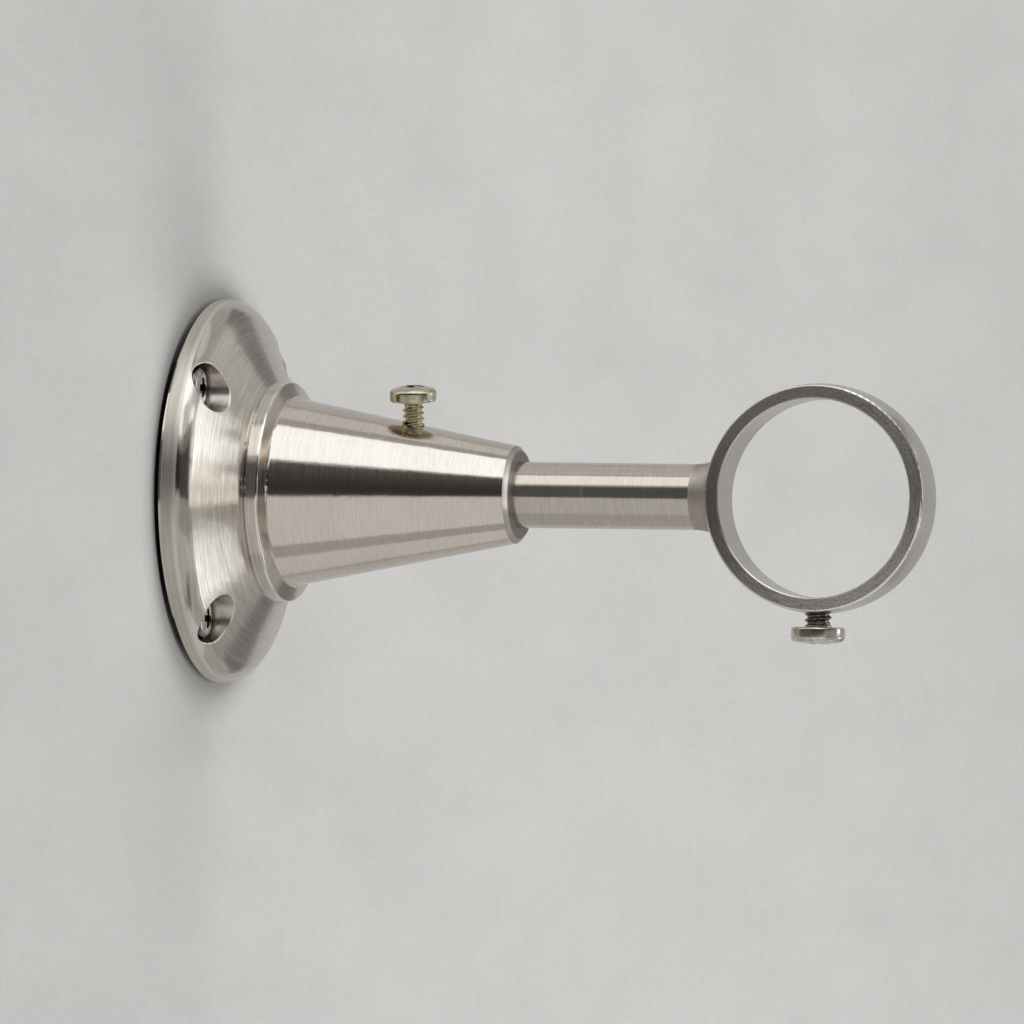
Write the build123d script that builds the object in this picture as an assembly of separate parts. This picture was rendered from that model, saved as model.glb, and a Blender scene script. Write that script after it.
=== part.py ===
from build123d import *
import os
from math import cos, radians, sin

# Curtain pole bracket: a flanged socket on the wall, an arm that ends in a ring for the pole, and
# the screws that hold them. The origin is the centre of the flange's back, +X leads out of the wall
# along the arm, the pole lies along Y, and +Z is up. All sizes are in millimetres.

# Arm
STEM_D = 12.0
STEM_START = 24.0          # wall to the stem's hidden end
STEM_END_CHAMFER = 0.8
REACH = 115.25             # wall to the middle of the pole
NECK_LENGTH = 2.4          # plain stem to the ring's outside
NECK_SPREAD = 0.9          # how far the neck flares up and down at the ring
NECK_WAIST = 0.25          # share of that flare halfway along the neck
NECK_SIDE_GAP = 0.5        # the neck's sides stay inside the ring's faces

# Ring at the end of the arm
POLE_D = 35.0
POLE_CLEARANCE = 0.5       # all round the pole
RING_WALL = 2.85
RING_WIDTH = 9.4
RING_CROWN = 0.35          # bulge of the ring's outside
RING_OUTER_EDGE = 0.35
RING_BORE_CHAMFER = 0.2

# Base: flange, collar and cone in one casting
STEM_CLEARANCE = 0.05      # all round the stem in its socket
FLANGE_D = 70.0
FOOT_INSET = 2.2           # leaves a shadow gap between the rim and the wall
FOOT_HEIGHT = 1.1
RIM_HEIGHT = 2.5
RIM_EDGE = 0.3
FACET_WIDTH = 3.0          # steep shoulder inside the rim
FACET_RISE = 2.5
FACET_BULGE = 0.28
SWEEP_WIDTH = 12.5         # hollow sweep from the shoulder's top in to the collar
SWEEP_RISE = 5.9
COLLAR_STEP = 0.6          # the collar stands this proud of the sweep
COLLAR_WIDTH = 2.5
COLLAR_EDGE = 0.42
COVE_DEPTH = 2.9           # from the collar down to the cone's foot
COVE_LENGTH = 0.9
COVE_FILLET = 0.7
CONE_LENGTH = 43.1
CONE_END_WALL = 2.7        # metal round the stem at the cone's end
CONE_END_CHAMFER = 0.8
BASE_CLOCK = 7.0           # degrees the base is turned on the wall, about +X

# Wall screws in the flange
WALL_SCREW_COUNT = 4
WALL_SCREW_D = 3.5
WALL_SCREW_LENGTH = 30.0
WALL_SCREW_POINT = 5.0
WALL_SCREW_THREAD_D = 2.95  # midway between the thread's crest and root
WALL_HEAD_D = 7.4
WALL_HEAD_HEIGHT = 2.1
WALL_HEAD_DOME = 0.5
WALL_HOLE_CLEARANCE = 0.25
COUNTERBORE_D = 8.8
COUNTERBORE_FLOOR = 3.1    # metal left under each screw head
COUNTERBORE_RIM_GAP = 0.8  # counterbore to the flange's rim
COUNTERBORE_EDGE = 0.2

# Socket screw, which grips the stem
THREAD_CLEARANCE = 0.05
SOCKET_SCREW_D = 4.0
SOCKET_SCREW_LENGTH = 10.0
SOCKET_SCREW_AT = 38.3     # from the wall
SOCKET_SCREW_BACKED_OFF = 0.8
SOCKET_HEAD_D = 8.5
SOCKET_HEAD_HEIGHT = 3.0
SOCKET_HEAD_DOME = 0.8

# Pole screw, which grips the pole
POLE_SCREW_D = 5.0
POLE_SCREW_LENGTH = 5.0
POLE_SCREW_SUNK = 0.25     # tip below the ring's bore
POLE_HEAD_D = 9.8
POLE_HEAD_HEIGHT = 3.1
POLE_HEAD_DOME = 0.6

# Details that all the screws share
SCREW_TIP_CHAMFER = 0.4
HEAD_EDGE = 0.9
HEAD_FOOT_EDGE = 0.45
RECESS_SPAN = 0.48         # length of the cross, as a share of the head
RECESS_SLOT = 0.16         # width of its arms, as a share of the head
RECESS_DEPTH = 0.45        # as a share of the head's height

# Sizes that follow from the ones above
STEM_R = STEM_D / 2
SOCKET_R = STEM_R + STEM_CLEARANCE
BORE_R = POLE_D / 2 + POLE_CLEARANCE
RING_R = BORE_R + RING_WALL
NECK_START = REACH - RING_R - NECK_LENGTH
FLANGE_R = FLANGE_D / 2
RIM_FRONT = FOOT_HEIGHT + RIM_HEIGHT
FACET_R = FLANGE_R - FACET_WIDTH
FACET_TOP = RIM_FRONT + FACET_RISE
SWEEP_END_R = FACET_R - SWEEP_WIDTH
COLLAR_R = SWEEP_END_R + COLLAR_STEP
COLLAR_BACK = FACET_TOP + SWEEP_RISE
COLLAR_FRONT = COLLAR_BACK + COLLAR_WIDTH
CONE_FOOT = COLLAR_FRONT + COVE_LENGTH
CONE_FOOT_R = COLLAR_R - COVE_DEPTH
CONE_END = CONE_FOOT + CONE_LENGTH
CONE_END_R = SOCKET_R + CONE_END_WALL
SCREW_CIRCLE_R = FLANGE_R - COUNTERBORE_RIM_GAP - COUNTERBORE_D / 2


def round_corners(section, points, radius):
    """Round the corners of a flat section that lie nearest to the given points."""
    corners = [section.vertices().sort_by_distance(Vector(*point))[0] for point in points]
    return fillet(corners, radius)


def bevel_corners(section, points, length):
    """Bevel the corners of a flat section that lie nearest to the given points."""
    corners = [section.vertices().sort_by_distance(Vector(*point))[0] for point in points]
    return chamfer(corners, length)


def base_direction(degrees):
    """Direction across the stem, counted from the base's own top, which BASE_CLOCK turns."""
    turn = radians(90 + BASE_CLOCK + degrees)
    return Vector(0, cos(turn), sin(turn))


def wall_screw_spots():
    """Centres of the wall screws on the wall, midway between the base's top and its sides."""
    step = 360 / WALL_SCREW_COUNT
    return [base_direction(step * (i + 0.5)) * SCREW_CIRCLE_R for i in range(WALL_SCREW_COUNT)]


def make_base():
    """The flange, collar and cone, turned about X, with the holes for the screws and the stem."""
    foot_corner = (FOOT_HEIGHT, FLANGE_R - FOOT_INSET)
    rim_back = (FOOT_HEIGHT, FLANGE_R)
    rim_front = (RIM_FRONT, FLANGE_R)
    facet_end = (FACET_TOP, FACET_R)
    sweep_end = (COLLAR_BACK, SWEEP_END_R)
    collar_back = (COLLAR_BACK, COLLAR_R)
    collar_front = (COLLAR_FRONT, COLLAR_R)
    cone_foot = (CONE_FOOT, CONE_FOOT_R)
    cone_end = (CONE_END, CONE_END_R)
    shoulder = SagittaArc(rim_front, facet_end, FACET_BULGE)
    outline = Curve() + [
        Polyline((0, SOCKET_R), (0, FLANGE_R - FOOT_INSET), foot_corner, rim_back, rim_front),
        shoulder,
        TangentArc(facet_end, sweep_end, tangent=shoulder % 1),
        Polyline(sweep_end, collar_back, collar_front, cone_foot, cone_end),
        Polyline(cone_end, (CONE_END, SOCKET_R), (0, SOCKET_R)),
    ]
    section = make_face(outline.edges())
    section = round_corners(section, [rim_back, rim_front], RIM_EDGE)
    section = round_corners(section, [collar_back, collar_front], COLLAR_EDGE)
    section = round_corners(section, [cone_foot], COVE_FILLET)
    section = bevel_corners(section, [cone_end], CONE_END_CHAMFER)
    base = revolve(Plane.XZ * section, Axis.X)

    for spot in wall_screw_spots():
        seat = Plane(spot + Vector(COUNTERBORE_FLOOR, 0, 0), z_dir=(1, 0, 0))
        base -= seat * extrude(Circle(COUNTERBORE_D / 2), CONE_END)
        base -= seat * extrude(Circle(WALL_SCREW_D / 2 + WALL_HOLE_CLEARANCE), -CONE_END)
    mouths = base.edges().filter_by(is_counterbore_mouth)
    base = fillet(mouths, COUNTERBORE_EDGE)

    hole = Plane((SOCKET_SCREW_AT, 0, 0), z_dir=base_direction(0))
    base -= hole * extrude(Circle(SOCKET_SCREW_D / 2 + THREAD_CLEARANCE), FLANGE_R)
    return base


def is_counterbore_mouth(edge):
    """True for an edge where a counterbore breaks out through the flange's sloping face."""
    middle = edge.center()
    across = [Vector(0, middle.Y, middle.Z) - spot for spot in wall_screw_spots()]
    near = min(offset.length for offset in across) < COUNTERBORE_D / 2 + RIM_EDGE
    return near and edge.geom_type not in (GeomType.LINE, GeomType.CIRCLE)


def make_arm():
    """The stem, its neck and the ring, in one piece, with the pole screw's hole."""
    stem_face = Plane((STEM_START, 0, 0), z_dir=(1, 0, 0))
    stem = stem_face * extrude(Circle(STEM_R), NECK_START - STEM_START)
    stem = chamfer(stem.edges().sort_by(Axis.X)[0], STEM_END_CHAMFER)

    neck_foot = Plane((NECK_START, 0, 0), x_dir=(0, 1, 0), z_dir=(1, 0, 0))
    neck_top = Plane((REACH - RING_R + RING_WALL / 2, 0, 0), x_dir=(0, 1, 0), z_dir=(1, 0, 0))
    neck_side = RING_WIDTH / 2 - NECK_SIDE_GAP
    neck_waist = Plane((neck_foot.origin + neck_top.origin) / 2, x_dir=(0, 1, 0), z_dir=(1, 0, 0))
    waist_side = (STEM_R + neck_side) / 2
    waist_height = STEM_R + NECK_SPREAD * NECK_WAIST
    neck = loft(
        [
            neck_foot * Circle(STEM_R),
            neck_waist * Ellipse(waist_side, waist_height),
            neck_top * Ellipse(neck_side, STEM_R + NECK_SPREAD),
        ]
    )

    half = RING_WIDTH / 2
    edge_r = RING_R - RING_CROWN
    ring_outline = Curve() + [
        Polyline((edge_r, half), (BORE_R, half), (BORE_R, -half), (edge_r, -half)),
        ThreePointArc((edge_r, -half), (RING_R, 0), (edge_r, half)),
    ]
    ring_section = make_face(ring_outline.edges())
    ring_section = round_corners(ring_section, [(edge_r, half), (edge_r, -half)], RING_OUTER_EDGE)
    ring_section = bevel_corners(ring_section, [(BORE_R, half), (BORE_R, -half)], RING_BORE_CHAMFER)
    ring = Pos(REACH, 0, 0) * revolve(ring_section, Axis.Y)

    pole_space = Pos(REACH, 0, 0) * Rot(X=90) * Cylinder(BORE_R, RING_WIDTH)
    arm = stem + (neck - pole_space) + ring
    hole = Plane((REACH, 0, 0), z_dir=(0, 0, -1))
    return arm - hole * extrude(Circle(POLE_SCREW_D / 2 + THREAD_CLEARANCE), RING_R + RING_WALL)


def head(diameter, height, dome):
    """A pan head that sits on Z = 0, with a cross recess in its domed top."""
    radius = diameter / 2
    side = height - dome
    outline = Curve() + [
        Polyline((0, height), (0, 0), (radius, 0), (radius, side)),
        ThreePointArc((radius, side), (radius * 0.5, height - dome * 0.25), (0, height)),
    ]
    section = round_corners(make_face(outline.edges()), [(radius, side)], HEAD_EDGE)
    section = round_corners(section, [(radius, 0)], HEAD_FOOT_EDGE)
    turned = revolve(Plane.XZ * section, Axis.Z)
    arm_length = RECESS_SPAN * diameter
    arm_width = RECESS_SLOT * diameter
    floor = height - RECESS_DEPTH * height
    for turn in (0, 90):
        arm = Pos(0, 0, floor + height / 2) * Rot(Z=turn) * Box(arm_length, arm_width, height)
        turned -= arm
    return turned


def make_set_screw(diameter, length, head_diameter, head_height, head_dome):
    """A pan-head machine screw along Z, with its head above Z = 0 and its tip below."""
    shank = extrude(Circle(diameter / 2), -length)
    shank = chamfer(shank.edges().sort_by(Axis.Z)[0], SCREW_TIP_CHAMFER)
    return head(head_diameter, head_height, head_dome) + shank


def make_wall_screw():
    """A pan-head wood screw along Z: plain through the flange, then the threaded length and point."""
    plain = extrude(Circle(WALL_SCREW_D / 2), -COUNTERBORE_FLOOR)
    thread_length = WALL_SCREW_LENGTH - COUNTERBORE_FLOOR - WALL_SCREW_POINT
    thread_top = Plane((0, 0, -COUNTERBORE_FLOOR))
    thread = thread_top * extrude(Circle(WALL_SCREW_THREAD_D / 2), -thread_length)
    point_outline = Polyline(
        (0, -COUNTERBORE_FLOOR - thread_length),
        (WALL_SCREW_THREAD_D / 2, -COUNTERBORE_FLOOR - thread_length),
        (0, -WALL_SCREW_LENGTH),
        close=True,
    )
    point = revolve(Plane.XZ * make_face(point_outline.edges()), Axis.Z)
    return head(WALL_HEAD_D, WALL_HEAD_HEIGHT, WALL_HEAD_DOME) + plain + thread + point


def place_socket_screw():
    """The socket screw, backed off the stem and standing out of the base's top."""
    outward = base_direction(0)
    under_head = STEM_R + SOCKET_SCREW_BACKED_OFF + SOCKET_SCREW_LENGTH
    spot = Vector(SOCKET_SCREW_AT, 0, 0) + outward * under_head
    screw = make_set_screw(
        SOCKET_SCREW_D, SOCKET_SCREW_LENGTH, SOCKET_HEAD_D, SOCKET_HEAD_HEIGHT, SOCKET_HEAD_DOME
    )
    return Plane(spot, x_dir=(1, 0, 0), z_dir=outward) * screw


def place_pole_screw():
    """The pole screw, standing out of the bottom of the ring with its tip just inside the wall."""
    under_head = BORE_R + POLE_SCREW_SUNK + POLE_SCREW_LENGTH
    screw = make_set_screw(
        POLE_SCREW_D, POLE_SCREW_LENGTH, POLE_HEAD_D, POLE_HEAD_HEIGHT, POLE_HEAD_DOME
    )
    return Plane((REACH, 0, -under_head), x_dir=(1, 0, 0), z_dir=(0, 0, -1)) * screw


def place_wall_screws():
    """One wood screw on each counterbore's floor, pointing into the wall, with its cross upright."""
    screw = make_wall_screw()
    seats = [
        Plane(spot + Vector(COUNTERBORE_FLOOR, 0, 0), x_dir=(0, 0, 1), z_dir=(1, 0, 0))
        for spot in wall_screw_spots()
    ]
    return Compound([(seat * screw).solid() for seat in seats])


NODES = {
    "base": make_base(),
    "arm": make_arm(),
    "socket_screw": place_socket_screw(),
    "pole_screw": place_pole_screw(),
    "wall_screws": place_wall_screws(),
}

os.makedirs("parts", exist_ok=True)
for name, shape in NODES.items():
    export_step(shape, f"parts/{name}.step")
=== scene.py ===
import math

import bpy
import numpy as np
from mathutils import Matrix, Vector


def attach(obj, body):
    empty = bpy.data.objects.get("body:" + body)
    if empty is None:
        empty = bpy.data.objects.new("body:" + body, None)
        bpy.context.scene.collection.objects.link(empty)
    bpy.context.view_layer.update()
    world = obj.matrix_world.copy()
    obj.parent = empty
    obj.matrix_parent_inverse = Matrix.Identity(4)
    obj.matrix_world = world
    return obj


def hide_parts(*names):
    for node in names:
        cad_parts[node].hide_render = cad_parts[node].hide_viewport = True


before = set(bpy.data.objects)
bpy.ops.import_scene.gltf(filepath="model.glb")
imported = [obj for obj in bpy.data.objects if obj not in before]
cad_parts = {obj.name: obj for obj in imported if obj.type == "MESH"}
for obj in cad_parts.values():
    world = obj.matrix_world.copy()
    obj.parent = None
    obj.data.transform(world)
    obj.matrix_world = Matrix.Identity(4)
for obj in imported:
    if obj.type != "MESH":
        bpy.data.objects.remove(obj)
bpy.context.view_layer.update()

MM = 0.001
MICRON = 0.000001
MM_PER_METRE = (1000.0, 1000.0, 1000.0)

# Sizes that follow the solids, in millimetres
FLANGE_R = 35.0
SHOULDER_TOP = 6.1
BORE_R = 4.45
BORE_FLOOR = 3.1
COLLAR_BACK = 12.0
CONE_FOOT = 15.4
CONE_END = 58.5
CONE_END_CHAMFER = 0.8
NECK_START = 92.0
RING_AT = 115.25
RING_R = 20.85
RING_CROWN = 0.35
RING_HALF_WIDTH = 4.7
SOCKET_SCREW_AT = 38.3
SOCKET_HEAD_SEAT = 16.8
SOCKET_HEAD_R = 4.25
SOCKET_HEAD_HEIGHT = 3.0
POLE_HEAD_SEAT = 23.25
POLE_HEAD_R = 4.9
POLE_HEAD_HEIGHT = 3.1
WALL_SCREW_CIRCLE = 29.8
WALL_HEAD_R = 3.7
WALL_HEAD_HEIGHT = 2.1
WALL_SCREWS = 4
PAST_ALL_HEADS = 6.0

# Degrees that the base is turned on the wall
BASE_CLOCK = 7.0

# Turned edges that are rubbed bright, and painted lighter as edge highlights, each as its radius and its
# height on the piece's axis, in millimetres
BASE_EDGES = ((34.8, 3.5), (20.0, 12.1), (20.0, 14.4), (8.4, 58.2))
RING_EDGES = ((20.4, 4.6), (18.1, 4.6), (20.4, -4.6), (18.1, -4.6))
BASE_EDGE_WIDTH = 0.5
RING_EDGE_WIDTH = 0.32
EDGE_WEAR_AND_HIGHLIGHT = 0.8
EDGE_POLISH = 0.06

# Nickel: its darker marks, its lighter marks, its rubbed edges with painted edge highlights, and the painted
# shade of its bore floors and cone end
WARM_DARK = (0.530, 0.478, 0.418, 1.0)
WARM_LIGHT = (0.795, 0.719, 0.630, 1.0)
FLANGE_DARK = (0.520, 0.478, 0.424, 1.0)
FLANGE_LIGHT = (0.785, 0.724, 0.645, 1.0)
BASE_EDGE_WEAR_AND_HIGHLIGHT = (0.800, 0.760, 0.700, 1.0)
BORE_PAINTED_SHADE = (0.070, 0.064, 0.056, 1.0)
END_PAINTED_SHADE = (0.150, 0.146, 0.142, 1.0)
RING_DARK = (0.400, 0.365, 0.330, 1.0)
RING_LIGHT = (0.790, 0.750, 0.700, 1.0)
RING_EDGE_WEAR_AND_HIGHLIGHT = (0.960, 0.930, 0.890, 1.0)

# The ring's faces: how much darker they are painted than its outside, as painted shade, and how that painted
# shading lies across them, in mm
FACE_PAINTED_DARKER = 0.95
RING_SHADE_LEAN = 0.7
RING_SHADE_REACH = 26.0

# Roughness of the nickel where it is smoothest, and what its marks and dull places add
BASE_ROUGH = 0.09
BASE_MARKS_ROUGH = 0.11
SWEEP_ROUGH = 0.07
RIM_ROUGH = 0.40
BORE_ROUGH = 0.12
END_ROUGH = 0.27
STEM_ROUGH = 0.12
STEM_MARKS_ROUGH = 0.07
NECK_ROUGH = 0.52
RING_ROUGH = 0.17
RING_MARKS_ROUGH = 0.05
FACE_ROUGH = 0.08
FACE_GRAIN_ROUGH = 0.12

# Brushing: how far the grain stretches the gloss, and how the marks lean as the radius grows
BRUSHED = 0.7
QUARTER_TURN = 0.25
MARK_LEAN = 0.73
NOISE_MIDDLE = 0.5

# Zinc: each screw's lighter and darker patches, and the painted shade of its hidden places: thread, head edge
# and recess
YELLOW_LIGHT = (0.68, 0.63, 0.48, 1.0)
YELLOW_DARK = (0.43, 0.38, 0.24, 1.0)
POLE_ZINC_LIGHT = (0.76, 0.72, 0.63, 1.0)
POLE_ZINC_DARK = (0.50, 0.44, 0.35, 1.0)
WALL_ZINC_LIGHT = (0.66, 0.64, 0.62, 1.0)
WALL_ZINC_DARK = (0.38, 0.36, 0.35, 1.0)
THREAD_PAINTED_SHADE = (0.090, 0.078, 0.058, 1.0)
HEAD_EDGE_PAINTED_SHADE = (0.060, 0.056, 0.052, 1.0)
RECESS_PAINTED_SHADE = (0.030, 0.027, 0.024, 1.0)
RECESS_ROUGH = 0.4

# Threads: crest and root flats as shares of the pitch, run-in in turns, step under the plain part in mm
THREAD_CREST = 0.12
THREAD_ROOT = 0.2
THREAD_RUN_IN = 0.8
PLAIN_STEP = 0.35
SHARP_ANGLE = 38.0

# The wall and what is seen past it, with a painted contact shadow round the flange and a painted shadow in
# the gap under the rim. The painted gap shadow fades between two squares of its height, in mm.
# The plaster's marks are stretched because the camera sees the wall from its side.
PLASTER_LIGHT = (0.572, 0.566, 0.552, 1.0)
PLASTER_DARK = (0.512, 0.506, 0.494, 1.0)
CONTACT_PAINTED_SHADOW = (0.05, 0.05, 0.05, 1.0)
UNDER_RIM_PAINTED_SHADOW = (0.008, 0.008, 0.008, 1.0)
UNDER_RIM_FADE = (200.0, 1100.0)
BACKDROP = (0.565, 0.558, 0.546, 1.0)
ROOM_GREY = (0.42, 0.42, 0.42, 1.0)
WALL_STRETCH = 0.3
WALL_GAP = 0.00005
WALL_NEAR, WALL_FAR, WALL_REACH = -0.5, 1.3, 0.6

# The camera, in degrees, millimetres of lens and metres
CAMERA_AZIMUTH = 17.5
CAMERA_ELEVATION = -0.8
CAMERA_ROLL = 1.0
CAMERA_DISTANCE = 3.0
CAMERA_LENS = 580.1
CAMERA_SENSOR = 36.0
CAMERA_REACH = 20.0
AIM = Vector((0.058, 0.0, 0.0))
AIM_RIGHT = -0.001127
AIM_UP = -0.003127

# Studio cards: how far off they stand, in metres, where a nearer card covers a farther one
CLOSE_BALL = 0.26
FRONT_BALL = 1.4
MAIN_BALL = 1.5
BACK_BALL = 1.6
CARD_STEP = 4
WHITE = (1.0, 1.0, 1.0)
COOL_WHITE = (0.95, 1.0, 1.05)
LAMP_POWER = 6.8

# Flat cards across the stem and behind the ring, whose points are places in millimetres
STEM_SHEET_X = 72.0
RING_SHEET_Y = 140.0
AS_PLACED = 1.0

# The way each turned piece lies: its own Z is the axis that it was brushed round
ALONG_X = Matrix(((0, 0, 1), (1, 0, 0), (0, 1, 0)))
ALONG_Y = Matrix(((0, 1, 0), (0, 0, 1), (1, 0, 0)))


class Wire:
    """A node's output. Arithmetic on wires adds Math nodes, or Vector Math nodes where it is a vector."""

    def __init__(self, tree, socket):
        self.tree = tree
        self.socket = socket

    def node(self, kind, settings=None, sockets=None, out=0):
        """Adds any node: its type, its settings, which are set first, and its sockets' values or links."""
        made = self.tree.nodes.new("ShaderNode" + kind)
        for name, value in (settings or {}).items():
            setattr(made, name, value)
        for name, value in (sockets or {}).items():
            if isinstance(value, Wire):
                self.tree.links.new(value.socket, made.inputs[name])
            else:
                made.inputs[name].default_value = value
        return Wire(self.tree, made.outputs[out])

    def other(self, out):
        """Another output of the same node."""
        return Wire(self.tree, self.socket.node.outputs[out])

    def math(self, operation, *values):
        kind = "VectorMath" if self.socket.type == "VECTOR" else "Math"
        return self.node(kind, {"operation": operation}, dict(enumerate(values)))

    def __add__(self, value):
        return self.math("ADD", self, value)

    def __radd__(self, value):
        return self.math("ADD", value, self)

    def __sub__(self, value):
        return self.math("SUBTRACT", self, value)

    def __rsub__(self, value):
        return self.math("SUBTRACT", value, self)

    def __mul__(self, value):
        return self.math("MULTIPLY", self, value)

    def __rmul__(self, value):
        return self.math("MULTIPLY", value, self)

    def __truediv__(self, value):
        return self.math("DIVIDE", self, value)

    def __rtruediv__(self, value):
        return self.math("DIVIDE", value, self)

    def __pow__(self, value):
        return self.math("POWER", self, value)

    def __rpow__(self, value):
        return self.math("POWER", value, self)

    def __abs__(self):
        return self.math("ABSOLUTE", self)

    def largest(self, value):
        return self.math("MAXIMUM", self, value)

    def parts(self):
        """The X, Y and Z of a vector."""
        x = self.node("SeparateXYZ", sockets={"Vector": self})
        return x, x.other("Y"), x.other("Z")

    def joined(self, y, z):
        """A vector with this as its X."""
        return self.node("CombineXYZ", sockets={"X": self, "Y": y, "Z": z})

    def eased(self, low, high, start=0.0, end=1.0):
        """Goes smoothly from start to end as this goes from low to high."""
        sockets = {"Value": self, "From Min": low, "From Max": high, "To Min": start, "To Max": end}
        return self.node("MapRange", {"interpolation_type": "SMOOTHSTEP"}, sockets)

    def tint(self, first, second):
        """The colour that goes from first to second as this goes from 0 to 1."""
        return self.node("Mix", {"data_type": "RGBA"}, {"Factor": self, 6: first, 7: second}, 2)

    def noise(self, scale, detail=2.0, roughness=0.5):
        sockets = {"Vector": self, "Scale": scale, "Detail": detail, "Roughness": roughness}
        return self.node("TexNoise", sockets=sockets)

    def bump(self, depth, strength=1.0, under=None):
        """A normal raised by this height, where 1 is depth metres, over another normal if one is given."""
        sockets = {"Height": self, "Distance": depth, "Strength": strength}
        if under is not None:
            sockets["Normal"] = under
        return self.node("Bump", sockets=sockets)

    def clear_from_behind(self):
        """This shader from the front, and nothing from behind."""
        behind = self.node("NewGeometry", out="Backfacing")
        clear = self.node("BsdfTransparent")
        return self.node("MixShader", sockets={0: behind, 1: self, 2: clear})


# A number beside a size in the finishes below is where a mask fades in or out, in millimetres


def new_material(name):
    """A new material, its Principled shader, and a wire with the piece's own coordinates in millimetres."""
    material = bpy.data.materials.new(name)
    material.use_nodes = True
    tree = material.node_tree
    place = Wire(tree, None).node("TexCoord", out="Object")
    return material, tree.nodes["Principled BSDF"], place * MM_PER_METRE


def finish_with(shader, sockets):
    for name, value in sockets.items():
        if isinstance(value, Wire):
            value.tree.links.new(value.socket, shader.inputs[name])
        else:
            shader.inputs[name].default_value = value


def worn_and_highlit_edges(radius, height, edges, width):
    """1 on the piece's turned edges, each given as its radius and height, and 0 away from them."""
    mask = None
    for edge_radius, edge_height in edges:
        across = radius - edge_radius
        along = height - edge_height
        near = (across * across + along * along).eased(0.0, width * width, 1.0, 0.0)
        mask = near if mask is None else mask.largest(near)
    return mask


def lathe_marks(place, pitch, streak, wander):
    """Brush marks round the piece's own Z: its radius and height, the fine marks and the broad streaks."""
    x, y, height = place.parts()
    radius = (x * x + y * y) ** 0.5
    along = height - radius * MARK_LEAN
    turn_x = x / radius * wander
    turn_y = y / radius * wander
    fine = turn_x.joined(turn_y, along / pitch).noise(1.0, detail=3.0, roughness=0.6)
    broad = turn_x.joined(turn_y, along / streak).noise(1.0, detail=2.0, roughness=0.55)
    return radius, height, fine, broad


def marked_tone(fine, broad, fine_share, broad_share, middle=0.5):
    """The nickel's tone, from 0 for dark to 1 for light, with its fine marks and broad streaks."""
    return middle + (fine - NOISE_MIDDLE) * fine_share + (broad - NOISE_MIDDLE) * broad_share


def nickel(shader, colour, rough, raised):
    """Links a brushed nickel finish, crisp round the piece's axis and soft along it."""
    finish_with(shader, {
        "Base Color": colour,
        "Metallic": 1.0,
        "Roughness": rough,
        "Anisotropic": BRUSHED,
        "Anisotropic Rotation": QUARTER_TURN,
        "Normal": raised,
    })


def bore_distance(place):
    """How far the base's points are from the nearest screw bore's middle, in its own axes."""
    x, y, _ = place.parts()
    turn = math.radians(BASE_CLOCK)
    bore_side = WALL_SCREW_CIRCLE / math.sqrt(2.0)
    across = abs(x * math.cos(turn) + y * math.sin(turn)) - bore_side
    upward = abs(y * math.cos(turn) - x * math.sin(turn)) - bore_side
    return (across * across + upward * upward) ** 0.5


def nickel_base():
    """The base: a streaked flange with a plain rim and bores whose walls are painted lighter as a painted
    sheen and whose floors are painted dark as painted shade, and a brushed cone whose end is rougher and
    painted darker as painted shade.
    """
    material, shader, place = new_material("satin_nickel_base")
    radius, height, fine, broad = lathe_marks(place, pitch=0.13, streak=0.5, wander=3.0)
    patches = place.noise(0.09, detail=3.0, roughness=0.55)
    hand = place.noise(0.35, detail=2.0, roughness=0.6)
    on_flange = height.eased(COLLAR_BACK, CONE_FOOT, 1.0, 0.0)
    on_rim = radius.eased(FLANGE_R - 0.35, FLANGE_R - 0.1)
    on_sweep = height.eased(SHOULDER_TOP - 0.6, SHOULDER_TOP + 0.4) * on_flange
    in_bore = bore_distance(place).eased(BORE_R, BORE_R + 0.25, 1.0, 0.0) * on_flange
    bore_floor_painted_shade = in_bore * height.eased(BORE_FLOOR + 0.1, BORE_FLOOR + 0.8, 1.0, 0.0)
    chamfer_start = CONE_END - CONE_END_CHAMFER
    on_end = height.eased(chamfer_start - 0.1, chamfer_start + 0.05)
    on_end_face = height.eased(CONE_END - 0.15, CONE_END)
    # Rubbed edges: lighter from wear, and painted lighter as edge highlights
    wear_and_highlight = worn_and_highlit_edges(radius, height, BASE_EDGES, BASE_EDGE_WIDTH) * EDGE_WEAR_AND_HIGHLIGHT

    tone = marked_tone(fine, broad, fine_share=1.2, broad_share=0.35 + on_flange * 0.85)
    # The bore walls are painted lighter, a painted sheen
    tone = tone + (patches - NOISE_MIDDLE) * 0.5 + in_bore * 0.5
    colour = on_flange.tint(tone.tint(WARM_DARK, WARM_LIGHT), tone.tint(FLANGE_DARK, FLANGE_LIGHT))
    colour = wear_and_highlight.tint(colour, BASE_EDGE_WEAR_AND_HIGHLIGHT)
    # Painted shade: the bore floors dark, and the cone's end chamfer and face darker
    colour = (bore_floor_painted_shade * 0.85).tint(colour, BORE_PAINTED_SHADE)
    colour = (on_end * 0.35 + on_end_face * 0.45).tint(colour, END_PAINTED_SHADE)

    rough = BASE_ROUGH + fine.eased(0.32, 0.68) * BASE_MARKS_ROUGH + on_sweep * SWEEP_ROUGH
    rough = rough + on_rim * RIM_ROUGH + in_bore * BORE_ROUGH + on_end * END_ROUGH - wear_and_highlight * EDGE_POLISH
    raised = broad.bump(10 * MICRON, under=hand.bump(20 * MICRON))
    nickel(shader, colour, rough, fine.bump(4 * MICRON, under=raised))
    return material


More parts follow.
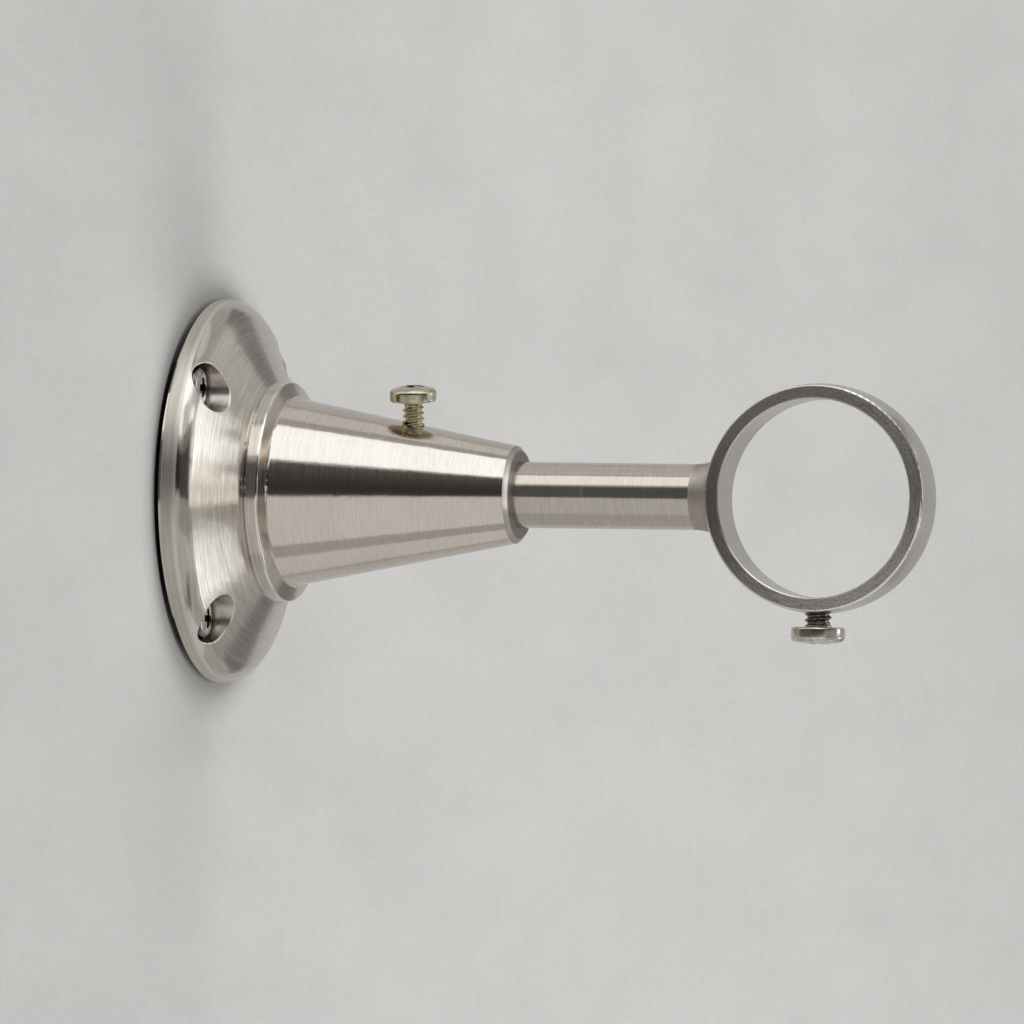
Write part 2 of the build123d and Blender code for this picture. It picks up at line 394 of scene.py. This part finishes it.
def nickel_stem():
    """The stem: finely brushed, with a plain dull neck where it joins the ring."""
    material, shader, place = new_material("satin_nickel_stem")
    _, height, fine, broad = lathe_marks(place, pitch=0.14, streak=0.6, wander=1.6)
    hand = place.noise(0.3, detail=2.0, roughness=0.6)
    on_neck = height.eased(NECK_START - 0.15, NECK_START + 0.1)
    tone = marked_tone(fine, broad, fine_share=0.8, broad_share=0.4) + on_neck * (hand - 0.75)
    rough = STEM_ROUGH + fine.eased(0.35, 0.65) * STEM_MARKS_ROUGH + on_neck * NECK_ROUGH
    raised = fine.bump(3 * MICRON, under=hand.bump(6 * MICRON))
    nickel(shader, tone.tint(WARM_DARK, WARM_LIGHT), rough, raised)
    return material


def nickel_ring():
    """The ring: smooth inside and out, with grained turning marks on its faces, which are painted darker than
    its outside and lighter at low right as painted shading.
    """
    material, shader, place = new_material("satin_nickel_ring")
    radius, height, fine, broad = lathe_marks(place, pitch=0.13, streak=0.5, wander=7.0)
    hand = place.noise(0.3, detail=2.0, roughness=0.6)
    grain = place.noise(3.2, detail=3.0, roughness=0.65)
    on_face = (height * height).eased((RING_HALF_WIDTH - 0.4) ** 2, (RING_HALF_WIDTH - 0.12) ** 2)
    upward, outward, _ = place.parts()
    # Painted shading on the ring's faces: lighter towards low right
    painted_light_low_right = (outward - upward * RING_SHADE_LEAN).eased(-RING_SHADE_REACH, RING_SHADE_REACH)
    # Rubbed edges: lighter from wear, and painted lighter as edge highlights
    wear_and_highlight = worn_and_highlit_edges(radius, height, RING_EDGES, RING_EDGE_WIDTH) * EDGE_WEAR_AND_HIGHLIGHT

    # The faces' grain, with their colour painted darker than the outside as painted shade
    face_marks_and_painted_shade = (fine - NOISE_MIDDLE) * 1.6 + (grain - NOISE_MIDDLE) * 2.4 + painted_light_low_right - FACE_PAINTED_DARKER
    tone = marked_tone(fine, broad, fine_share=0.3, broad_share=0.25, middle=0.72) + on_face * face_marks_and_painted_shade
    colour = wear_and_highlight.tint(tone.tint(RING_DARK, RING_LIGHT), RING_EDGE_WEAR_AND_HIGHLIGHT)

    rough = RING_ROUGH + fine.eased(0.3, 0.7) * RING_MARKS_ROUGH - wear_and_highlight * EDGE_POLISH
    rough = rough + on_face * (FACE_ROUGH + grain.eased(0.3, 0.7) * FACE_GRAIN_ROUGH)
    raised = fine.bump(3 * MICRON, under=hand.bump(8 * MICRON))
    nickel(shader, colour, rough, raised)
    return material


def zinc_plate(name, light, dark, head_radius, head_height, smooth, thread_shade=0.0, edge_shade=0.0):
    """Zinc-plated screw steel: mottled and pitted, with painted shade in its recess, on its thread and at its
    head's edge.
    """
    material, shader, place = new_material(name)
    x, y, height = place.parts()
    radius = (x * x + y * y) ** 0.5
    mottle = place.noise(0.9, detail=4.0, roughness=0.6)
    pits = place.noise(6.0, detail=3.0, roughness=0.6)
    turning_pitch = 0.22
    turned = (radius / turning_pitch).joined(height / turning_pitch, 0.0).noise(1.0)
    in_recess = radius.eased(head_radius * 0.50, head_radius * 0.54, 1.0, 0.0)
    in_recess = in_recess * height.eased(head_height - 0.55, head_height - 0.25, 1.0, 0.0)
    in_recess = in_recess * height.eased(0.0, 0.3)
    # Painted shade on the thread, at the head's edge and in the recess
    thread_painted_shade = height.eased(-0.35, -0.05, thread_shade, 0.0)
    head_edge_painted_shade = radius.eased(head_radius * 0.82, head_radius * 0.97, 0.0, edge_shade)
    patches = (mottle * 0.5 + pits * 0.2 + turned * 0.3).eased(0.36, 0.68)
    colour = thread_painted_shade.tint(patches.tint(light, dark), THREAD_PAINTED_SHADE)
    colour = in_recess.tint(head_edge_painted_shade.tint(colour, HEAD_EDGE_PAINTED_SHADE), RECESS_PAINTED_SHADE)
    finish_with(shader, {
        "Base Color": colour,
        "Metallic": 1.0,
        "Roughness": smooth + mottle * 0.12 + pits * 0.05 + in_recess * RECESS_ROUGH,
        "Normal": (pits * 0.6 + mottle * 0.4).bump(12 * MICRON),
    })
    return material


def cad_corners(node):
    """A CAD node's welded points, its triangles and the normal at each triangle's corners."""
    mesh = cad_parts[node].data
    points = np.empty(len(mesh.vertices) * 3, np.float32)
    mesh.vertices.foreach_get("co", points)
    corners = np.empty(len(mesh.loops), np.int32)
    mesh.loops.foreach_get("vertex_index", corners)
    normals = np.empty(len(mesh.loops) * 3, np.float32)
    mesh.corner_normals.foreach_get("vector", normals)
    weld = 1e-7
    welded, place = np.unique(np.round(points.reshape(-1, 3) / weld), axis=0, return_inverse=True)
    triangles = place.reshape(-1)[corners].reshape(-1, 3)
    return welded * weld, triangles, normals.reshape(-1, 3, 3)


def open_loops(triangles):
    """The closed loops of edges that only one triangle has, each as its points in order."""
    edges = np.concatenate([triangles[:, [0, 1]], triangles[:, [1, 2]], triangles[:, [2, 0]]])
    there = set(map(tuple, edges))
    after = {a: b for a, b in there if (b, a) not in there}
    loops = []
    while after:
        start, point = after.popitem()
        loop = [start]
        while point != start:
            loop.append(point)
            point = after.pop(point)
        loops.append(loop)
    return loops


def shell_from(node, keep, axes, origin):
    """The kept triangles of a CAD node in the piece's own axes, with their open ends capped."""
    points, triangles, normals = cad_corners(node)
    points = (points - np.array(origin)) @ np.array(axes)
    normals = normals @ np.array(axes)
    distinct = (triangles != np.roll(triangles, 1, axis=1)).all(axis=1)
    chosen = distinct & keep(points[triangles].mean(axis=1))
    triangles, normals = triangles[chosen], normals[chosen]
    for loop in open_loops(triangles):
        centre = len(points)
        points = np.vstack([points, points[loop].mean(axis=0)])
        cap = np.array([(b, a, centre) for a, b in zip(loop, loop[1:] + loop[:1])])
        first, second, third = (points[cap[:, i]] for i in range(3))
        facing = np.cross(second - first, third - first).sum(axis=0)
        facing = facing / np.linalg.norm(facing)
        triangles = np.vstack([triangles, cap])
        normals = np.vstack([normals, np.tile(facing, (len(cap), 3, 1))])
    used, triangles = np.unique(triangles, return_inverse=True)
    return points[used], triangles.reshape(-1, 3), normals


def new_piece(name, points, faces, material, normals=None, axes=None, at=(0.0, 0.0, 0.0)):
    """A smooth mesh object in its own axes, placed in the shared frame."""
    mesh = bpy.data.meshes.new(name)
    mesh.from_pydata([tuple(p) for p in points], [], [tuple(int(i) for i in f) for f in faces])
    mesh.polygons.foreach_set("use_smooth", [True] * len(mesh.polygons))
    mesh.materials.append(material)
    if normals is not None:
        mesh.normals_split_custom_set([tuple(n) for n in normals.reshape(-1, 3)])
    piece = bpy.data.objects.new(name, mesh)
    bpy.context.scene.collection.objects.link(piece)
    turn = axes.to_4x4() if axes is not None else Matrix.Identity(4)
    piece.matrix_world = Matrix.Translation(Vector(at)) @ turn
    return piece


def fit(piece, body, node):
    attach(piece, body)
    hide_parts(node)


def whole(centres):
    """True for every triangle."""
    return np.ones(len(centres), bool)


def on_ring(centres):
    """True for the ring's own triangles, which lie on or inside its crowned outside, in the ring's axes."""
    crown = RING_R - RING_CROWN * (centres[:, 2] / MM / RING_HALF_WIDTH) ** 2
    slack = 0.002
    return np.hypot(centres[:, 0], centres[:, 1]) < (crown + slack) * MM


def on_stem(centres):
    """True for the arm's other triangles, in the stem's axes."""
    in_ring_axes = np.stack([centres[:, 1], centres[:, 2] - RING_AT * MM, centres[:, 0]], axis=1)
    return ~on_ring(in_ring_axes)


def make_base():
    origin = (0, 0, 0)
    points, faces, normals = shell_from("base", whole, ALONG_X, origin)
    piece = new_piece("turned_base", points, faces, nickel_base(), normals, ALONG_X, origin)
    fit(piece, "base", "base")


def make_arm():
    ring_centre = (RING_AT * MM, 0, 0)
    points, faces, normals = shell_from("arm", on_ring, ALONG_Y, ring_centre)
    ring = new_piece("arm_ring", points, faces, nickel_ring(), normals, ALONG_Y, ring_centre)
    fit(ring, "arm", "arm")

    origin = (0, 0, 0)
    points, faces, normals = shell_from("arm", on_stem, ALONG_X, origin)
    stem = new_piece("arm_stem", points, faces, nickel_stem(), normals, ALONG_X, origin)
    fit(stem, "arm", "arm")


def thread_height(turns):
    """How high the thread stands, from 0 at its root to 1 at its crest, for a place along it in turns."""
    ramp = np.abs(((turns + 0.5) % 1.0) - 0.5) * 2.0
    return np.clip((1.0 - ramp - THREAD_ROOT) / (1.0 - THREAD_CREST - THREAD_ROOT), 0.0, 1.0)


def shank(length, major, minor, pitch, plain, point, tip, round_points=48, rows=12):
    """A threaded shank from Z 0 down to -length: its points and faces, closed at both ends.

    It is plain at the thread's major radius for a stretch under the head. Over its last stretch, the point,
    it narrows to the share of its radius that tip gives. Each turn of thread has that many rows of points.
    """
    count = int(round(length / pitch * rows)) + 1
    down = np.linspace(0.0, length, count)
    turn = np.arange(round_points) / round_points
    stands = thread_height(-down[:, None] / pitch - turn[None, :])
    run_in = np.clip((down - plain) / (pitch * THREAD_RUN_IN), 0.0, 1.0)
    step_down = np.clip(1.0 - (down - plain) / PLAIN_STEP, 0.0, 1.0)
    raised = np.maximum(step_down[:, None], stands * run_in[:, None])
    taper = tip + (1.0 - tip) * np.clip((length - down) / point, 0.0, 1.0)
    radius = (minor + (major - minor) * raised) * taper[:, None]
    x = radius * np.cos(turn * 2 * math.pi)
    y = radius * np.sin(turn * 2 * math.pi)
    z = np.broadcast_to(-down[:, None], x.shape)
    points = np.stack([x, y, z], axis=-1).reshape(-1, 3)
    faces = []
    for row in range(count - 1):
        upper = row * round_points
        lower = upper + round_points
        for i in range(round_points):
            j = (i + 1) % round_points
            faces.append((upper + i, lower + i, lower + j, upper + j))
    top, bottom = len(points), len(points) + 1
    points = np.vstack([points, [(0, 0, 0.0), (0, 0, -length)]])
    last = (count - 1) * round_points
    for i in range(round_points):
        j = (i + 1) % round_points
        faces.append((i, j, top))
        faces.append((last + j, last + i, bottom))
    return points * MM, faces


def is_head(centres):
    """True for a screw head's triangles, in the screw's axes, whose Z starts at the head's seat."""
    close = np.hypot(centres[:, 0], centres[:, 1]) < PAST_ALL_HEADS * MM
    return (centres[:, 2] > -MICRON) & close


def make_screw(name, node, body, direction, seat, shank_sizes, finish):
    """One screw with its head towards direction: the head from the solid, and a threaded shank below it."""
    axes = Vector(direction).to_track_quat("Z", "Y").to_matrix()
    head, head_faces, _ = shell_from(node, is_head, axes, seat)
    shaft, shaft_faces = shank(**shank_sizes)
    faces = [tuple(f) for f in head_faces]
    faces += [tuple(i + len(head) for i in f) for f in shaft_faces]
    piece = new_piece(name, np.vstack([head, shaft]), faces, finish, axes=axes, at=seat)
    piece.data.set_sharp_from_angle(angle=math.radians(SHARP_ANGLE))
    fit(piece, body, node)


def base_direction(degrees):
    """The direction across the base's axis at an angle from its own top."""
    turn = math.radians(90 + BASE_CLOCK + degrees)
    return Vector((0.0, math.cos(turn), math.sin(turn)))


def make_socket_screw():
    up = base_direction(0)
    seat = Vector((SOCKET_SCREW_AT * MM, 0, 0)) + up * SOCKET_HEAD_SEAT * MM
    sizes = dict(length=10.0, major=2.0, minor=1.5, pitch=1.05, plain=0.25, point=0.4, tip=0.8)
    finish = zinc_plate("yellow_zinc", YELLOW_LIGHT, YELLOW_DARK, SOCKET_HEAD_R, SOCKET_HEAD_HEIGHT,
                        smooth=0.12, thread_shade=0.12)
    make_screw("threaded_socket_screw", "socket_screw", "socket_screw",
               up, seat, sizes, finish)


def make_pole_screw():
    down = Vector((0, 0, -1))
    seat = Vector((RING_AT * MM, 0, -POLE_HEAD_SEAT * MM))
    sizes = dict(length=5.0, major=2.5, minor=1.95, pitch=1.15, plain=0.25, point=0.4, tip=0.84)
    finish = zinc_plate("clear_zinc_pole", POLE_ZINC_LIGHT, POLE_ZINC_DARK, POLE_HEAD_R, POLE_HEAD_HEIGHT,
                        smooth=0.08, thread_shade=0.75)
    make_screw("threaded_pole_screw", "pole_screw", "pole_screw",
               down, seat, sizes, finish)


def make_wall_screws():
    sizes = dict(length=30.0, major=1.475, minor=1.0, pitch=1.35, plain=8.0, point=5.0, tip=0.06,
                 round_points=36, rows=10)
    finish = zinc_plate("clear_zinc_wall", WALL_ZINC_LIGHT, WALL_ZINC_DARK, WALL_HEAD_R, WALL_HEAD_HEIGHT,
                        smooth=0.04, edge_shade=0.8)
    out = Vector((1, 0, 0))
    spacing = 360 / WALL_SCREWS
    for i in range(WALL_SCREWS):
        across = base_direction(spacing / 2 + spacing * i)
        seat = across * WALL_SCREW_CIRCLE * MM + out * BORE_FLOOR * MM
        name = "threaded_wall_screw_" + str(i + 1)
        make_screw(name, "wall_screws", "base", out, seat, sizes, finish)


def make_camera():
    """The camera where the photograph was taken."""
    azimuth = math.radians(CAMERA_AZIMUTH)
    elevation = math.radians(CAMERA_ELEVATION)
    roll = math.radians(CAMERA_ROLL)
    level = Vector((math.sin(azimuth), -math.cos(azimuth), 0.0))
    back = level * math.cos(elevation) + Vector((0.0, 0.0, math.sin(elevation)))
    right = Vector((math.cos(azimuth), math.sin(azimuth), 0.0))
    up = back.cross(right)
    across = right * math.cos(roll) + up * math.sin(roll)
    upward = up * math.cos(roll) - right * math.sin(roll)
    data = bpy.data.cameras.new("camera")
    data.lens = CAMERA_LENS
    data.sensor_width = CAMERA_SENSOR
    data.clip_end = CAMERA_REACH
    camera = bpy.data.objects.new("camera", data)
    bpy.context.scene.collection.objects.link(camera)
    aim = AIM + across * AIM_RIGHT + upward * AIM_UP
    placed = Matrix((across, upward, back)).transposed().to_4x4()
    camera.matrix_world = Matrix.Translation(aim + back * CAMERA_DISTANCE) @ placed
    bpy.context.scene.camera = camera


def plaster():
    """Pale plaster with a painted contact shadow round the flange and a painted shadow in the gap under its
    rim, seen through from behind so that the back of the bracket shows in other views.
    """
    material, shader, place = new_material("pale_plaster")
    x, y, z = place.parts()
    seen = x.joined(y * WALL_STRETCH, z)
    clouds = seen.noise(0.045, detail=5.0, roughness=0.65)
    grain = seen.noise(0.9, detail=4.0, roughness=0.65)
    mottle = (clouds * 0.6 + grain * 0.4).eased(0.3, 0.72)
    radius = (y * y + z * z) ** 0.5
    # Painted shadow: darker round the flange, and near black in the gap under the rim, fading towards the top
    # and bottom
    painted_contact_shadow = radius.eased(FLANGE_R - 3.0, FLANGE_R + 9.0, 0.45, 0.0)
    painted_gap_shadow = radius.eased(FLANGE_R - 0.5, FLANGE_R + 0.4, 1.0, 0.0)
    painted_gap_shadow = painted_gap_shadow * (z * z).eased(*UNDER_RIM_FADE, 1.0, 0.3)
    colour = painted_contact_shadow.tint(mottle.tint(PLASTER_LIGHT, PLASTER_DARK), CONTACT_PAINTED_SHADOW)
    finish_with(shader, {
        "Base Color": painted_gap_shadow.tint(colour, UNDER_RIM_PAINTED_SHADOW),
        "Roughness": 0.9,
        "Specular IOR Level": 0.0,
        "Normal": grain.bump(120 * MICRON, strength=0.35),
    })
    tree = material.node_tree
    one_sided = Wire(tree, shader.outputs[0]).clear_from_behind()
    tree.links.new(one_sided.socket, tree.nodes["Material Output"].inputs["Surface"])
    return material


def make_wall():
    corners = [
        (0, WALL_NEAR, -WALL_REACH),
        (0, WALL_FAR, -WALL_REACH),
        (0, WALL_FAR, WALL_REACH),
        (0, WALL_NEAR, WALL_REACH),
    ]
    wall = new_piece("wall", corners, [(0, 1, 2, 3)], plaster(), at=(-WALL_GAP, 0, 0))
    wall.visible_glossy = False


def glow(name, strength, colour, front_only):
    """A shining card, seen through from behind if only its front shines."""
    material = bpy.data.materials.new(name)
    material.use_nodes = True
    tree = material.node_tree
    tree.nodes.clear()
    start = Wire(tree, None)
    light = start.node("Emission", sockets={"Color": (*colour, 1.0), "Strength": strength})
    if front_only:
        light = light.clear_from_behind()
    output = tree.nodes.new("ShaderNodeOutputMaterial")
    tree.links.new(light.socket, output.inputs["Surface"])
    return material


def reflection_only(piece):
    piece.visible_camera = False
    piece.visible_diffuse = False
    piece.visible_shadow = False
    piece.visible_transmission = False


def along_strip(turn, lean):
    """A direction: the turn about the bracket's axis from the camera's side up, and the lean off the wall."""
    turn, lean = math.radians(turn), math.radians(lean)
    return Vector((math.sin(lean), -math.cos(lean) * math.cos(turn), math.cos(lean) * math.sin(turn)))


def on_panel(azimuth, height):
    """A direction: the azimuth from the camera's side, by way of the front, and the height above level."""
    azimuth, height = math.radians(azimuth), math.radians(height)
    level = Vector((math.sin(azimuth), -math.cos(azimuth), 0.0)) * math.cos(height)
    return level + Vector((0.0, 0.0, math.sin(height)))


def beside_stem(y, z):
    """A point on a sheet across the stem, just past the cone, from millimetres to metres."""
    return Vector((STEM_SHEET_X, y, z)) * MM


def behind_ring(x, z):
    """A point on a sheet on the ring's far side, from millimetres to metres."""
    return Vector((x, RING_SHEET_Y, z)) * MM


def card(name, surface, across, up, strength, far=MAIN_BALL, colour=WHITE, front_only=False):
    """A studio card that shows only in the metal, between two ends across and two ends up on a surface.

    On a ball the ends are in degrees and far is its radius. On a sheet they are in millimetres, as placed.
    """
    columns = max(2, int((across[1] - across[0]) / CARD_STEP))
    rows = max(2, int((up[1] - up[0]) / CARD_STEP))
    points, faces = [], []
    for i in range(columns + 1):
        for j in range(rows + 1):
            first = across[0] + (across[1] - across[0]) * i / columns
            second = up[0] + (up[1] - up[0]) * j / rows
            points.append(surface(first, second) * far)
    for i in range(columns):
        for j in range(rows):
            a = i * (rows + 1) + j
            faces.append((a, a + 1, a + rows + 2, a + rows + 1))
    reflection_only(new_piece(name, points, faces, glow(name, strength, colour, front_only)))


def make_cone_cards():
    """Strips along the bracket, which the cone, the stem and the flange's top and bottom show."""
    along_cone, along_shoulder, near_wall = (-7, 42), (42, 78), (-70, -7)
    card("key_strip", along_strip, (39, 87), along_cone, 1.55, colour=COOL_WHITE)
    card("key_strip_end", along_strip, (44, 97), along_shoulder, 1.6)
    card("key_strip_low", along_strip, (37, 72), near_wall, 1.15)
    card("dark_flag", along_strip, (-5, 10), along_cone, 0.04)
    card("dark_flag_middle", along_strip, (10, 17), along_cone, 0.05)
    card("dark_flag_over", along_strip, (17, 25), along_cone, 0.065)
    card("dark_flag_top", along_strip, (25, 36), along_cone, 0.085)
    card("dark_flag_end", along_strip, (-2, 36), along_shoulder, 0.02)
    card("dark_flag_low", along_strip, (-8, 31), near_wall, 0.10)
    card("front_fill", along_strip, (-70, -7), along_cone, 0.70)
    card("front_fill_end", along_strip, (-80, -4), along_shoulder, 0.50)
    card("front_fill_low", along_strip, (-68, -10), near_wall, 0.52)
    card("floor_fill", along_strip, (-122, -88), along_cone, 0.66)
    card("floor_flag", along_strip, (-100, -84), (44, 62), 0.14)
    card("top_fill", along_strip, (99, 124), along_cone, 0.68)
    card("top_fill_low", along_strip, (78, 124), near_wall, 0.56)
    card("wall_glow", along_strip, (128, 232), (-80, 11), 0.50)


def make_shoulder_cards():
    """Cards close to the bracket, which only the flange's steep shoulder shows."""
    card("shoulder_flag", on_panel, (62, 97), (-3, 15), 0.05, CLOSE_BALL)
    card("shoulder_flag_top", on_panel, (62, 97), (15, 22), 0.20, CLOSE_BALL)
    card("shoulder_fill", on_panel, (62, 97), (-16, -3), 0.34, CLOSE_BALL)
    card("shoulder_key", on_panel, (62, 85.5), (22, 36), 0.66, CLOSE_BALL)


def make_front_cards():
    """Cards out in front of the bracket's end, which the flange's sweep shows."""
    card("end_glow", on_panel, (87, 104), (2, 24), 1.7, BACK_BALL)
    card("end_glow_middle", on_panel, (87, 104), (-3, 2), 1.2, BACK_BALL)
    card("end_glow_low", on_panel, (80, 104), (-12, -3), 0.80, BACK_BALL)
    card("end_glow_floor", on_panel, (76, 104), (-46, -12), 0.60, BACK_BALL)
    card("end_top_over", on_panel, (84, 106), (24, 36), 0.62, BACK_BALL)
    card("end_key", on_panel, (111.5, 114.5), (1, 10), 2.6, colour=COOL_WHITE)
    card("end_key_middle", on_panel, (114.5, 118.5), (1, 14.5), 2.6, colour=COOL_WHITE)
    card("end_key_far", on_panel, (118.5, 125), (3, 17), 2.6, colour=COOL_WHITE)
    card("end_key_side", on_panel, (105, 111.5), (1, 20), 0.72)
    card("end_key_top", on_panel, (111.5, 124), (10, 21), 0.72, BACK_BALL)
    card("end_low_fill", on_panel, (105, 116.5), (-18, 1), 0.46, BACK_BALL)
    card("end_low_key", on_panel, (116.5, 119), (-11, -5), 3.2, colour=COOL_WHITE)
    card("end_low_key_middle", on_panel, (119, 123), (-14.5, -7), 3.2, colour=COOL_WHITE)
    card("end_low_key_far", on_panel, (123, 131), (-18, -9), 3.2, colour=COOL_WHITE)
    card("end_low_tail", on_panel, (116, 133), (-24, -12), 0.50, BACK_BALL)
    card("end_top", on_panel, (116, 134), (19, 31), 0.50)


def make_far_side_cards():
    """Cards on the bracket's far side, which the flange's top and bottom show."""
    card("side_streak", on_panel, (134, 151), (17.5, 21.7), 0.82, FRONT_BALL)
    card("side_top", on_panel, (134, 150), (21.7, 32), 0.45)
    card("side_dark_top", on_panel, (150, 167), (11, 30), 0.22)
    card("side_low", on_panel, (133, 150), (-32, -18.5), 0.38)
    card("side_dark_low", on_panel, (150, 168.5), (-26, -9), 0.20)


def make_sheet_cards():
    """A sheet across the stem, which the flange shows by way of the cone, and one behind the ring."""
    card("stem_glow", beside_stem, (-11.5, -2), (-7, 10), 2.2, AS_PLACED, front_only=True)
    card("ring_side", behind_ring, (103, 200), (-75, 75), 0.42, AS_PLACED)


def soft_lamp(name, at, size):
    """A square lamp that points at the bracket's origin and isn't seen itself, in metres."""
    data = bpy.data.lights.new(name, "AREA")
    data.shape = "SQUARE"
    data.size = size
    data.energy = LAMP_POWER
    lamp = bpy.data.objects.new(name, data)
    bpy.context.scene.collection.objects.link(lamp)
    axes = Vector(at).to_track_quat("Z", "Y").to_matrix()
    lamp.matrix_world = Matrix.Translation(Vector(at)) @ axes.to_4x4()
    lamp.visible_glossy = False
    lamp.visible_camera = False


def make_world():
    world = bpy.data.worlds.new("studio")
    bpy.context.scene.world = world
    world.use_nodes = True
    tree = world.node_tree
    tree.nodes.clear()
    start = Wire(tree, None)
    seen = start.node("LightPath", out="Is Camera Ray")
    shade = seen.tint(ROOM_GREY, BACKDROP)
    light = start.node("Background", sockets={"Color": shade, "Strength": 1.0})
    output = tree.nodes.new("ShaderNodeOutputWorld")
    tree.links.new(light.socket, output.inputs["Surface"])


make_base()
make_arm()
make_socket_screw()
make_pole_screw()
make_wall_screws()
make_camera()
make_wall()
make_world()
make_cone_cards()
make_shoulder_cards()
make_front_cards()
make_far_side_cards()
make_sheet_cards()
soft_lamp("low_lamp", (0.9, 0.3, -0.7), 0.6)
soft_lamp("high_lamp", (1.0, 0.3, 0.8), 0.7)

bpy.context.scene.view_settings.view_transform = "Standard"
